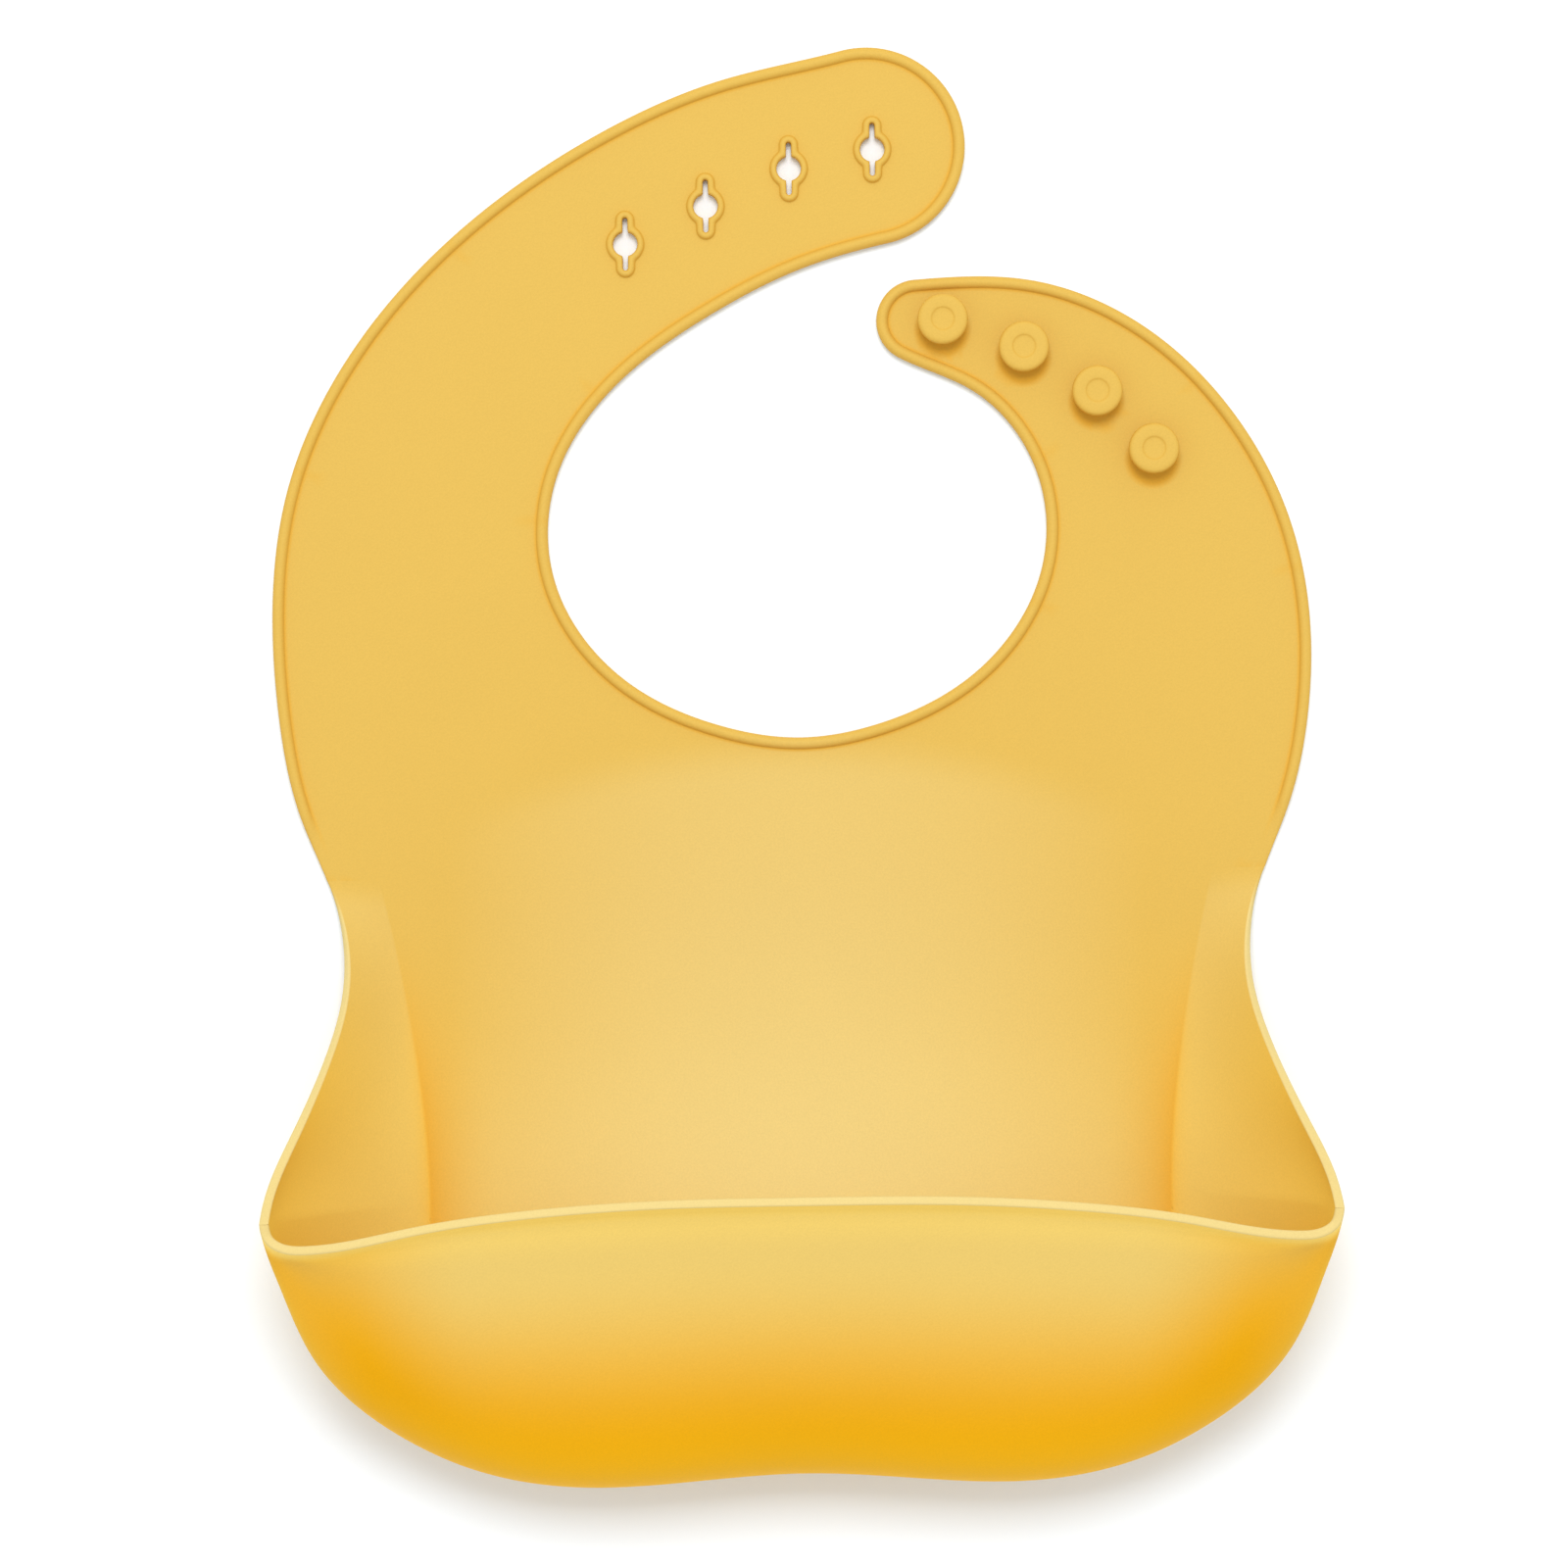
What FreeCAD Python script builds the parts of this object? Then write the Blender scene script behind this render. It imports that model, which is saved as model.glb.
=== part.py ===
"""Silicone baby bib with a scoop pocket, lying flat on its back.

One soft moulding: a flat chest panel, a collar that divides into a strap with four keyholes
and a strap with four studs, and a scoop pocket that stands up at the bottom.

Frame, in millimetres: +Z out of the front of the bib, +Y towards the straps, +X to the side
of the stud strap. The origin is under the middle of the bib, on the plane that it lies on.
"""
import math
import os

import FreeCAD
import Part

Vec = FreeCAD.Vector

# ---- sheet, bead and gaps -------------------------------------------------------------
SHEET = 2.0            # thickness of the panel, the collar and the straps
WALL = 2.0             # thickness of the pocket's walls
BEAD_WIDTH = 2.5       # raised edge round the collar and the neck opening
BEAD_TOP = 3.3         # height of the bead above the table
BEAD_STEP = 6.0        # spacing of the points that place the bead's inner edge
BEAD_END = 6.0         # the bead stops this far above the fold line
BODY_GAP = 0.3         # space between two pieces that a bending line divides
PANEL_GAP = 0.15       # space between the chest panel and the foot of the pocket's walls

# ---- collar outline -------------------------------------------------------------------
FOLD_Y = -22.0         # the line across the chest where the bib folds up
OUTER_LEFT = ((-100.4, FOLD_Y), (-105.0, -10.7), (-109.5, 12.0), (-110.3, 36.0),
              (-107.0, 58.5), (-95.7, 83.8), (-72.6, 111.0), (-39.0, 134.2), (-13.0, 145.0))
OUTER_RIGHT = ((52.0, 101.4), (76.0, 91.1), (94.3, 72.9), (105.4, 52.0), (109.9, 31.0),
               (109.6, 10.5), (105.0, -10.7), (100.4, FOLD_Y))
NECK = ((3.4, 104.8), (-16.5, 95.1), (-36.8, 80.4), (-49.3, 62.0), (-50.6, 40.0),
        (-36.5, 18.4), (-16.0, 7.9), (1.5, 5.0), (18.5, 7.8), (39.0, 18.4), (53.2, 39.8),
        (52.8, 60.0), (39.5, 78.0))
TIP_CENTRE = (17.3, 130.4)
TIP_RADIUS = 21.0      # round end of the keyhole strap
STUD_TIP_CENTRE = (27.6, 93.2)
STUD_TIP_RADIUS = 8.7  # round end of the stud strap

# ---- bending lines of the straps: a point on each line and the strap's heading there ---
HOLE_ROOT = ((-81.0, 60.0), 78.0)
HOLE_MIDDLE = ((-57.0, 99.0), 42.0)
STUD_ROOT = ((82.0, 38.0), 97.0)
STUD_MIDDLE = ((57.7, 82.2), 148.0)

# ---- keyholes and studs ---------------------------------------------------------------
KEYHOLES = ((-34.2, 110.4), (-17.0, 118.2), (0.8, 125.9), (18.6, 129.7))
KEYHOLE_RADIUS = 2.6
KEYHOLE_LIP_RADIUS = 4.05
SLOT_WIDTH = 1.1
SLOT_LENGTH = 11.2     # the two slots and the hole, end to end
LOBE_WIDTH = 4.2       # raised lip along the slots
LOBE_LENGTH = 14.0
LIP_TOP = 3.2
STUDS = ((32.9, 93.1), (50.0, 87.0), (65.4, 77.4), (77.2, 65.0))
STEM_RADIUS = 2.5
STEM_LENGTH = 3.6
CAP_RADIUS = 5.35
CAP_THICKNESS = 2.6
CAP_ROUNDING = 0.8
DIMPLE_RADIUS = 2.4
DIMPLE_DEPTH = 0.4

# ---- pocket, the half on the +X side; the other half is its mirror image ----------------
WALL_START = 0.06      # the side walls' solids begin this far along their rim
WALL_END = 0.991       # and end this far along it, where the bottom turn begins
CORNER_Y = -93.0       # the two lip corners
CORNER_Z = 52.0
POCKET_X = 110.7       # half the pocket's width there
LIP_Z = 60.0           # lip at the middle
FLOOR_X = 79.0         # half the width of the pocket's flat floor
FLARE = 10.0           # how much wider that floor is at the waist, on each side
CREASE_RADIUS = 3.0    # radius of a side wall's outer face at its foot
TURN_REACH = 0.58      # share of the bottom turn's width in which it leaves the floor, at its middle
TURN_SHARE = 0.45      # the bottom turn is three pieces, divided this far from its middle
TURN_GAP = 0.0015      # space left on each side of those divisions
BULGE_Z = 20.0         # height of the pocket's foremost line, above the bottom turn
CHEEK_X = 78.0         # the front wall bends between two lines this far from the middle
CHEEK_GAP = 0.6        # space on each side of such a line
CORNER_START = 0.10    # the cheeks' solids begin this far along the foremost line
CORNER_EDGE_GAP = 0.03 # share of their profile left open at that line
FRONT_EDGE_GAP = 0.015 # share of the front wall's profile left open at its foremost line
RIM = ((99.0, -26.0), (96.4, -38.0), (96.4, -48.0), (99.6, -61.0), (105.6, -76.0),
       (109.8, -87.0), (110.7, -93.0))
OUTLINE = ((110.7, -93.0), (107.4, -106.0), (100.6, -123.6), (84.9, -139.5), (65.9, -148.2),
           (47.0, -151.2), (24.0, -150.4), (0.0, -149.0))
FLOOR = ((79.0, -93.0), (78.0, -106.0), (72.5, -118.0), (57.5, -125.5), (30.0, -128.0),
         (0.0, -127.5))
LIP = ((110.7, -93.0), (109.6, -96.2), (106.8, -98.4), (101.0, -99.1), (94.0, -98.4),
       (79.0, -95.4), (58.0, -92.4), (30.0, -90.5), (0.0, -90.2))


def bezier(p0, p1, p2, p3, s):
    """The point at s, from 0 to 1, on a cubic curve with these four control points."""
    a, b, c, d = (1 - s) ** 3, 3 * s * (1 - s) ** 2, 3 * s * s * (1 - s), s ** 3
    return p0 * a + p1 * b + p2 * c + p3 * d


def smooth(s):
    """Rises from 0 to 1 with a level start and end."""
    s = min(max(s, 0.0), 1.0)
    return s * s * (3 - 2 * s)


def spline(points, start=None, end=None):
    """An edge through plan points, with an optional heading at each end."""
    curve = Part.BSplineCurve()
    places = [Vec(x, y, 0) for x, y in points]
    if start and end:
        curve.interpolate(Points=places, InitialTangent=Vec(*start), FinalTangent=Vec(*end))
    else:
        curve.interpolate(Points=places)
    return curve.toShape()


def line(a, b):
    return Part.makeLine(Vec(a[0], a[1], 0), Vec(b[0], b[1], 0))


def arc(a, middle, b):
    return Part.Arc(Vec(*a, 0), Vec(*middle, 0), Vec(*b, 0)).toShape()


def on_circle(centre, radius, degrees):
    turn = math.radians(degrees)
    return (centre[0] + radius * math.cos(turn), centre[1] + radius * math.sin(turn))


# ---- flat outline ---------------------------------------------------------------------

def collar_edges():
    """The outer edge of the collar and straps, from the fold line round to the fold line."""
    tip_top = on_circle(TIP_CENTRE, TIP_RADIUS, 104)
    tip_side = on_circle(TIP_CENTRE, TIP_RADIUS, 0)
    tip_low = on_circle(TIP_CENTRE, TIP_RADIUS, -78)
    stud_low = on_circle(STUD_TIP_CENTRE, STUD_TIP_RADIUS, 242)
    stud_side = on_circle(STUD_TIP_CENTRE, STUD_TIP_RADIUS, 175)
    stud_top = on_circle(STUD_TIP_CENTRE, STUD_TIP_RADIUS, 94)
    return [
        spline(OUTER_LEFT + (tip_top,), (-0.45, 1), (1, 0.25)),
        arc(tip_top, tip_side, tip_low),
        spline((tip_low,) + NECK + (stud_low,), (-1, -0.21), (-0.883, 0.469)),
        arc(stud_low, stud_side, stud_top),
        spline((stud_top,) + OUTER_RIGHT, (1, 0.07), (-0.45, -1)),
    ]


def collar_face():
    """The collar and straps above the fold line, as one flat face."""
    return Part.Face(Part.Wire(collar_edges() + [line(OUTER_RIGHT[-1], OUTER_LEFT[0])]))


def bead_face():
    """The band of the bead's width along the edge of the collar and straps."""
    inner = []
    for edge in collar_edges():
        steps = max(8, round(edge.Length / BEAD_STEP))
        for i in range(steps):
            u = edge.FirstParameter + (edge.LastParameter - edge.FirstParameter) * i / steps
            heading = edge.tangentAt(u)
            inner.append(edge.valueAt(u) + Vec(heading.y, -heading.x, 0) * BEAD_WIDTH)
    last = collar_edges()[-1]
    heading = last.tangentAt(last.LastParameter)
    inner.append(last.valueAt(last.LastParameter) + Vec(heading.y, -heading.x, 0) * BEAD_WIDTH)
    inner_edge = spline([(p.x, p.y) for p in inner])
    start, end = OUTER_LEFT[0], OUTER_RIGHT[-1]
    band = Part.Face(Part.Wire(collar_edges() + [line(end, (inner[-1].x, inner[-1].y)),
                                                 inner_edge,
                                                 line((inner[0].x, inner[0].y), start)]))
    return band.cut(rectangle(-300, FOLD_Y - 10, 300, FOLD_Y + BEAD_END))


def rectangle(x_low, y_low, x_high, y_high):
    corners = [(x_low, y_low), (x_high, y_low), (x_high, y_high), (x_low, y_high),
               (x_low, y_low)]
    return Part.Face(Part.makePolygon([Vec(x, y, 0) for x, y in corners]))


def half_plane(cut, gap=0.0):
    """A large flat face beyond a bending line, on the side that the strap heads for."""
    (x, y), heading = cut
    along = Vec(math.cos(math.radians(heading)), math.sin(math.radians(heading)), 0)
    across = Vec(-along.y, along.x, 0)
    base = Vec(x, y, 0) + along * gap
    reach, side = 400.0, 200.0
    corners = [base - across * side, base + along * reach - across * side,
               base + along * reach + across * side, base + across * side]
    return Part.Face(Part.makePolygon(corners + corners[:1]))


def strap_faces(whole):
    """The collar's face divided at the bending lines, with a gap at each."""
    half_gap = BODY_GAP / 2
    corners = [(-300, 30), (-40, 30), (-40, 74), (14, 106), (60, 106), (60, 300), (-300, 300),
               (-300, 30)]
    left = Part.Face(Part.makePolygon([Vec(x, y, 0) for x, y in corners]))
    hole_strap = whole.common(left)
    stud_strap = whole.common(rectangle(10, 10, 300, 106))
    parts = {"collar": whole.cut(hole_strap.common(half_plane(HOLE_ROOT, -half_gap)))
                            .cut(stud_strap.common(half_plane(STUD_ROOT, -half_gap)))}
    for name, strap, root, middle in (("hole_strap", hole_strap, HOLE_ROOT, HOLE_MIDDLE),
                                      ("stud_strap", stud_strap, STUD_ROOT, STUD_MIDDLE)):
        beyond = strap.common(half_plane(root, half_gap))
        parts[name + "_root"] = beyond.cut(half_plane(middle, -half_gap))
        parts[name + "_end"] = beyond.common(half_plane(middle, half_gap))
    return parts


def plate(face, low, high):
    """A flat face raised into one or more solids between two heights."""
    raised = face.copy()
    raised.translate(Vec(0, 0, low))
    return raised.extrude(Vec(0, 0, high - low))


# ---- keyholes and studs ---------------------------------------------------------------

def lobed(centre, radius, width, length, low, high):
    """A round post joined to a narrow upright bar with round ends, the shape of a keyhole."""
    x, y = centre
    post = Part.makeCylinder(radius, high - low, Vec(x, y, low))
    half = length / 2 - width / 2
    bar = Part.makeBox(width, 2 * half, high - low, Vec(x - width / 2, y - half, low))
    shape = post.fuse(bar)
    for end in (-half, half):
        shape = shape.fuse(Part.makeCylinder(width / 2, high - low, Vec(x, y + end, low)))
    return shape.removeSplitter()


def keyhole(centre):
    """One keyhole: a lip through the whole strap, round a hole with a slot each way."""
    lip = lobed(centre, KEYHOLE_LIP_RADIUS, LOBE_WIDTH, LOBE_LENGTH, 0, LIP_TOP)
    opening = lobed(centre, KEYHOLE_RADIUS, SLOT_WIDTH, SLOT_LENGTH, -1, LIP_TOP + 1)
    return lip.cut(opening)


def stud(centre):
    """One stud: a stem on the strap and a flat round cap with a shallow dimple."""
    x, y = centre
    stem = Part.makeCylinder(STEM_RADIUS, STEM_LENGTH, Vec(x, y, SHEET))
    base = SHEET + STEM_LENGTH
    cap = Part.makeCylinder(CAP_RADIUS, CAP_THICKNESS, Vec(x, y, base))
    cap = cap.makeFillet(CAP_ROUNDING, [e for e in cap.Edges if e.Closed])
    dimple = Part.makeCylinder(DIMPLE_RADIUS, 1, Vec(x, y, base + CAP_THICKNESS - DIMPLE_DEPTH))
    return stem.fuse(cap).cut(dimple)


# ---- pocket ---------------------------------------------------------------------------

def through(points, t):
    """The plan point at t, from 0 to 1, on a smooth curve through the given points."""
    lengths = [math.dist(a, b) for a, b in zip(points, points[1:])]
    reach = t * sum(lengths)
    k = 0
    while k < len(lengths) - 1 and reach > lengths[k]:
        reach -= lengths[k]
        k += 1
    h = lengths[k]
    s = min(max(reach / h, 0.0), 1.0)
    place = []
    for axis in (0, 1):
        slopes = [(points[i + 1][axis] - points[i][axis]) / lengths[i]
                  for i in range(len(lengths))]
        start = slopes[k] if k == 0 else (slopes[k - 1] + slopes[k]) / 2
        end = slopes[k] if k == len(slopes) - 1 else (slopes[k] + slopes[k + 1]) / 2
        a, b = points[k][axis], points[k + 1][axis]
        place.append(a * (1 + 2 * s) * (1 - s) ** 2 + start * h * s * (1 - s) ** 2
                     + b * s * s * (3 - 2 * s) - end * h * s * s * (1 - s))
    return Vec(place[0], place[1], 0)


def rim_edge(t):
    """The top edge of a side wall, from the waist (0) to the corner of the lip (1)."""
    place = through(RIM, t)
    return Vec(place.x, place.y, CORNER_Z * t ** 1.5)


def crease(t):
    """The foot of a side wall, level with rim_edge(t)."""
    return Vec(FLOOR_X + FLARE * (1 - t) ** 1.8, rim_edge(t).y, 0)


def outline_edge(t):
    """The foremost line of the pocket, from the lip's corner (0) to the middle (1)."""
    place = through(OUTLINE, t)
    way = min((POCKET_X - place.x) / (POCKET_X - CHEEK_X) * 0.5
              + (CORNER_Y - place.y) / 52.0 * 0.5, 1.0)
    fall = 0.3 * smooth(way) + 0.7 * (1 - (1 - way) ** 2)
    return Vec(place.x, place.y, CORNER_Z + (BULGE_Z - CORNER_Z) * fall)


def outline_share(x):
    """The t at which outline_edge(t) is x from the middle."""
    low, high = 0.0, 1.0
    for _ in range(30):
        middle = (low + high) / 2
        low, high = (middle, high) if through(OUTLINE, middle).x > x else (low, middle)
    return low


def floor_edge(t):
    """The edge of the flat floor inside outline_edge(t)."""
    return through(FLOOR, t)


def lip_edge(t):
    """The outer edge of the lip, from its corner (0) to the middle (1).

    Between the two cheeks it is straight above outline_edge(t).
    """
    side = outline_edge(t).x
    share = min(max((POCKET_X - side) / (POCKET_X - CHEEK_X), 0.0), 1.0)
    x = side - 4.0 * math.sin(math.pi * share) ** 2
    low, high = 0.0, 1.0
    for _ in range(30):
        middle = (low + high) / 2
        low, high = (middle, high) if through(LIP, middle).x > x else (low, middle)
    place = through(LIP, low)
    return Vec(x, place.y, LIP_Z - (LIP_Z - CORNER_Z) * (x / POCKET_X) ** 2)


def foot_reach(height):
    """How far a wall's curve is drawn level at its foot, to give the crease its radius."""
    return math.sqrt(CREASE_RADIUS * 0.55 * height / 1.5)


def side_wall(t, s):
    """The outer face of a side wall: s runs up from the crease to the rim."""
    foot, rim = crease(t), rim_edge(t)
    out = Vec(rim.x - foot.x, 0, 0)
    back = out * (0.30 * (1 - 0.8 * smooth((t - 0.5) / 0.5))) + Vec(0, 0, 0.45 * rim.z)
    return bezier(foot, foot + Vec(foot_reach(rim.z), 0, 0), rim - back, rim, s)


def bottom_wall(t, s):
    """The outer face of the bottom turn: s runs from the floor up to the foremost line."""
    foot, edge = floor_edge(t), outline_edge(t)
    out = Vec(edge.x - foot.x, edge.y - foot.y, 0)
    turn = smooth(t / 0.5)
    upright = smooth(t / 0.12)
    back = out * (0.06 * (1 - upright)) + Vec(0, 0, (0.45 + 0.10 * turn) * edge.z)
    reach = foot_reach(edge.z) / out.Length * (1 - turn) + TURN_REACH * turn
    return bezier(foot, foot + out * reach, edge - back, edge, s)


def front_wall(t, s):
    """The outer face of the front wall: s runs from the foremost line up to the lip."""
    edge, lip = outline_edge(t), lip_edge(t)
    span = Vec(lip.x - edge.x, lip.y - edge.y, 0)
    rise = lip.z - edge.z
    up = Vec(0, 0, 0.85 * rise) + span * 0.03
    back = span * 0.53 + Vec(0, 0, 0.25 * rise)
    return bezier(edge, edge + up, lip - back, lip, s)


def both_halves(place):
    """The same wall on both sides of the middle: t then runs from -1 to 1 across the bib."""
    def whole(t, s):
        half = place(1 - abs(t), s)
        return Vec(math.copysign(half.x, t), half.y, half.z)
    return whole


def mirrored(place):
    """The same wall on the -X side."""
    def other(t, s):
        half = place(t, s)
        return Vec(-half.x, half.y, half.z)
    return other


def thick_patch(place, t_range, s_range, steps):
    """A wall as one solid, whose outer face is place(t, s).

    The inner face lies a wall's thickness nearer to the inside of the pocket.
    """
    (t0, t1), (s0, s1) = t_range, s_range
    outer, inner = [], []
    small = 1e-3
    inside = Vec(0, -100, 24)
    for i in range(steps[0] + 1):
        t = t0 + (t1 - t0) * i / steps[0]
        t_low, t_high = max(t - small, t0), min(t + small, t1)
        outer_row, inner_row = [], []
        for j in range(steps[1] + 1):
            s = s0 + (s1 - s0) * j / steps[1]
            s_low, s_high = max(s - small, 0), min(s + small, 1)
            here = place(t, s)
            along_t = place(t_high, s) - place(t_low, s)
            along_s = place(t, s_high) - place(t, s_low)
            normal = along_t.cross(along_s)
            normal.normalize()
            if normal.dot(inside - here) < 0:
                normal = -normal
            outer_row.append(here)
            inner_row.append(here + normal * WALL)
        outer.append(outer_row)
        inner.append(inner_row)
    return solid_between(outer, inner)


def solid_between(outer, inner):
    """A solid closed by ruled faces between two matching grids of points."""
    faces = []
    surfaces = []
    for grid in (outer, inner):
        surface = Part.BSplineSurface()
        surface.interpolate(grid)
        surfaces.append(surface)
        faces.append(surface.toShape())
    a, b = surfaces
    u0, u1, v0, v1 = a.bounds()
    w0, w1, x0, x1 = b.bounds()
    borders = ((a.uIso(u0), b.uIso(w0)), (a.uIso(u1), b.uIso(w1)),
               (a.vIso(v0), b.vIso(x0)), (a.vIso(v1), b.vIso(x1)))
    for first, second in borders:
        faces.append(Part.makeRuledSurface(first.toShape(), second.toShape()))
    shell = Part.makeShell(faces)
    shell.sewShape()
    solid = Part.makeSolid(shell)
    if solid.Volume < 0:
        solid.reverse()
    return solid


def floor_face():
    """The flat chest and pocket floor, below the fold line."""
    side_steps, bottom_steps = 5, 7
    side = [crease(WALL_START + (1 - WALL_START) * i / side_steps)
            for i in range(side_steps + 1)]
    bottom = [floor_edge(i / bottom_steps) for i in range(bottom_steps + 1)]
    side = [(p.x - PANEL_GAP, p.y) for p in side]
    bottom = [(p.x * (1 - PANEL_GAP / FLOOR_X), p.y + PANEL_GAP * i / bottom_steps)
              for i, p in enumerate(bottom)]
    top_x, top_y = OUTER_RIGHT[-1][0], FOLD_Y - BODY_GAP
    start = rim_edge(WALL_START)
    edges = [
        line((-top_x, top_y), (top_x, top_y)),
        line((top_x, top_y), (start.x, start.y + PANEL_GAP)),
        line((start.x, start.y + PANEL_GAP), side[0]),
        spline(side),
        spline(bottom + [(-x, y) for x, y in reversed(bottom[:-1])]),
        spline([(-x, y) for x, y in reversed(side)]),
        line((-side[0][0], side[0][1]), (-start.x, start.y + PANEL_GAP)),
        line((-start.x, start.y + PANEL_GAP), (-top_x, top_y)),
    ]
    return Part.Face(Part.Wire(edges))


def write(name, shape):
    solids = shape.Solids
    result = solids[0] if len(solids) == 1 else Part.makeCompound(solids)
    assert solids and result.isValid(), name
    result.exportStep(os.path.join("parts", name + ".step"))
    box = result.BoundBox
    print(f"{name:26s} {len(solids)} solids {result.Volume:9.1f} mm3 "
          f"x {box.XMin:7.1f} {box.XMax:7.1f} y {box.YMin:7.1f} {box.YMax:7.1f} "
          f"z {box.ZMin:5.1f} {box.ZMax:5.1f}")


def main():
    os.makedirs("parts", exist_ok=True)
    whole = collar_face()
    faces = strap_faces(whole)
    beads = bead_face()
    holes = [keyhole(centre) for centre in KEYHOLES]
    for name, face in faces.items():
        sheet = plate(face, 0, SHEET)
        if name == "hole_strap_end":
            for centre in KEYHOLES:
                sheet = sheet.cut(lobed(centre, KEYHOLE_LIP_RADIUS, LOBE_WIDTH, LOBE_LENGTH,
                                        -1, SHEET + 1))
        write(name + "_sheet", sheet)
        write(name + "_bead", plate(beads.common(face), SHEET, BEAD_TOP))
    for number, shape in enumerate(holes, 1):
        write(f"keyhole_{number}", shape)
    for number, centre in enumerate(STUDS, 1):
        write(f"stud_{number}", stud(centre))

    write("chest_panel", plate(floor_face(), 0, SHEET))
    for name, low, high in (("pocket_turn_left", -1, -TURN_SHARE - TURN_GAP),
                            ("pocket_bottom", -TURN_SHARE + TURN_GAP, TURN_SHARE - TURN_GAP),
                            ("pocket_turn_right", TURN_SHARE + TURN_GAP, 1)):
        write(name, thick_patch(both_halves(bottom_wall), (low, high), (0, 1), (14, 8)))
    front_end = 1 - outline_share(CHEEK_X - CHEEK_GAP)
    write("pocket_front", thick_patch(both_halves(front_wall), (-front_end, front_end),
                                      (FRONT_EDGE_GAP, 1), (30, 10)))
    for side, turned in (("right", lambda place: place), ("left", mirrored)):
        write(f"pocket_side_{side}", thick_patch(turned(side_wall), (WALL_START, WALL_END),
                                                 (0, 1), (14, 8)))
        corner_end = outline_share(CHEEK_X + CHEEK_GAP)
        write(f"pocket_corner_{side}", thick_patch(turned(front_wall), (CORNER_START, corner_end),
                                                   (CORNER_EDGE_GAP, 1), (12, 8)))


main()
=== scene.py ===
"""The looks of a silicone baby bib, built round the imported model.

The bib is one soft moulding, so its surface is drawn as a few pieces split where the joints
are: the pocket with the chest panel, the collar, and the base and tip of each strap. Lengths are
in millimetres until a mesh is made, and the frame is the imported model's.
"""
import math

import bmesh
import bpy
import numpy as np
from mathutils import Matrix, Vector
from mathutils.geometry import delaunay_2d_cdt


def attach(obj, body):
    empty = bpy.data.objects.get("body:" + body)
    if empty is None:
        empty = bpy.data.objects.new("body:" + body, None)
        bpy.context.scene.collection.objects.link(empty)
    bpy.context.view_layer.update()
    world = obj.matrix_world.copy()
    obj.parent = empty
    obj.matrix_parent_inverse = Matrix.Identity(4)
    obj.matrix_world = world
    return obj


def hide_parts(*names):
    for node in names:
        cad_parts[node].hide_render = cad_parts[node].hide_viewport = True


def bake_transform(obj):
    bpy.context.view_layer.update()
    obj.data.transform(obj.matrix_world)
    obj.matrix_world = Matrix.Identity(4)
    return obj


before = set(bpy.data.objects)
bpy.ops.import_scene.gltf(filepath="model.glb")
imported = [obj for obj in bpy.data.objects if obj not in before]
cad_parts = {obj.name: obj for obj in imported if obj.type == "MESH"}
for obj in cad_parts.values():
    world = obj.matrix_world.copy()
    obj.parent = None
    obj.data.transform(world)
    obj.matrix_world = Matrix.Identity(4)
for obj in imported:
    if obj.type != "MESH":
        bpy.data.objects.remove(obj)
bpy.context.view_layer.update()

MM = 0.001

# ---- sizes of the sheet, its raised edge and the pocket's walls ------------------------
SHEET = 2.0
WALL = 2.0
OUTER_ROUND = 0.6
INNER_ROUND = 0.45
MESH_STEP = 1.6          # spacing of points along an outline
FILL_STEP = 3.2          # spacing of points on the flat parts
SEAM_Y = -24.0           # where the pocket's piece meets the collar

# ---- plan of the collar and straps -----------------------------------------------------
LEFT = ((-99.7, SEAM_Y), (-105.0, -10.7), (-109.5, 12.0), (-110.3, 36.0), (-107.0, 58.5),
        (-95.7, 83.8), (-72.6, 111.0), (-39.0, 134.2), (-13.0, 145.0))
RIGHT = ((52.0, 101.4), (76.0, 91.1), (94.3, 72.9), (105.4, 52.0), (109.9, 31.0),
         (109.6, 10.5), (105.0, -10.7), (99.7, SEAM_Y))
NECK = ((3.4, 104.8), (-16.5, 95.1), (-36.8, 80.4), (-49.3, 62.0), (-50.6, 40.0),
        (-36.5, 18.4), (-16.0, 7.9), (1.5, 5.0), (18.5, 7.8), (39.0, 18.4), (53.2, 39.8),
        (52.8, 60.0), (39.5, 78.0))
TIP_CENTRE = (17.3, 130.4)
TIP_RADIUS = 21.0
STUD_TIP_CENTRE = (27.6, 93.2)
STUD_TIP_RADIUS = 8.7

# ---- where the straps' pieces meet: the outer and the inner end of each seam ------------
SEAM_A = ((-107.0, 63.4), (-50.5, 51.4))
SEAM_C = ((-71.5, 112.0), (-40.4, 77.6))
SEAM_B = ((109.5, 39.4), (51.5, 33.0))
SEAM_D = ((89.0, 80.5), (51.6, 62.4))

# ---- keyholes and studs -----------------------------------------------------------------
KEYHOLES = ((-34.2, 110.4), (-17.0, 118.2), (0.8, 125.9), (18.6, 129.7))
HOLE_RADIUS = 2.6
SLOT_HALF_WIDTH = 0.55
SLOT_REACH = 5.05        # from the hole's centre to the centre of the slot's round end
HOLE_ANGLES = (0.0, 1.5, 3.0, 4.5, 6.0, 7.5, 9.0, 10.5, 12.0, 14, 16, 18, 20, 22, 24, 26, 28,
               30, 33, 36, 42, 50, 60, 70, 80, 90)     # from the slot to the side, in degrees
STUDS = ((32.9, 93.1), (50.0, 87.0), (65.4, 77.4), (77.2, 65.0))
SHADE_SHIFT = 2.3        # how far towards -Y the painted shadow beside a stud lies
SHADE_RINGS = (2.4, 4.0, 4.9, 5.6, 6.3, 7.3)           # radii of the points that carry it

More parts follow.
